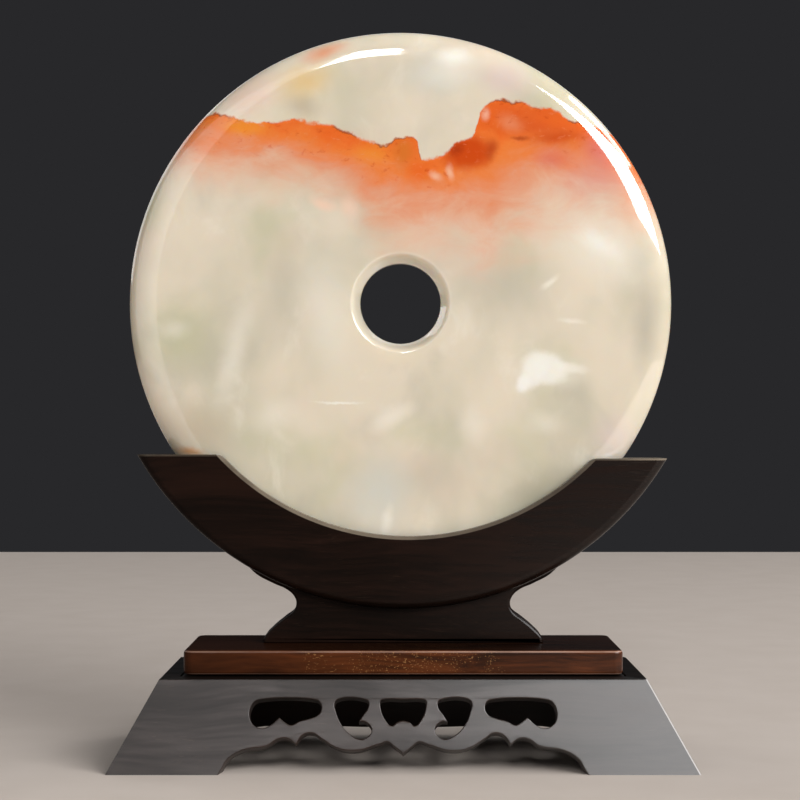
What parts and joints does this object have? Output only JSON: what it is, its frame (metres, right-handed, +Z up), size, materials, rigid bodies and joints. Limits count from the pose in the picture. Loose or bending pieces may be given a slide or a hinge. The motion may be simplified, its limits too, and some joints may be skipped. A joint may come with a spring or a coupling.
{
  "type": "jade bi disc on a carved wood stand",
  "caption": "Polished jade ring disc standing upright in a dark wood crescent cradle on a low plinth and a splayed base with a pierced, scalloped front.",
  "frame": {"origin": "on the ground under the middle of the base", "axes": "+Z up, the pierced front of the base faces -Y, and +X is to the right when looking at that front"},
  "size_m": [0.1852, 0.075, 0.239],
  "materials": {
    "jade": "polished, cloudy cream to pale green with an orange-red vein across the upper third",
    "dark_wood": "brown-black, fine pored, waxed to a soft sheen",
    "red_brown_wood": "red-brown with pale pores, semi-gloss"
  },
  "bodies": {
    "root": {"jade_disc": "jade", "cradle": "dark_wood", "plinth": "red_brown_wood", "base_top": "dark_wood", "apron_front": "dark_wood", "apron_back": "dark_wood", "apron_left": "dark_wood", "apron_right": "dark_wood"}
  },
  "joints": []
}
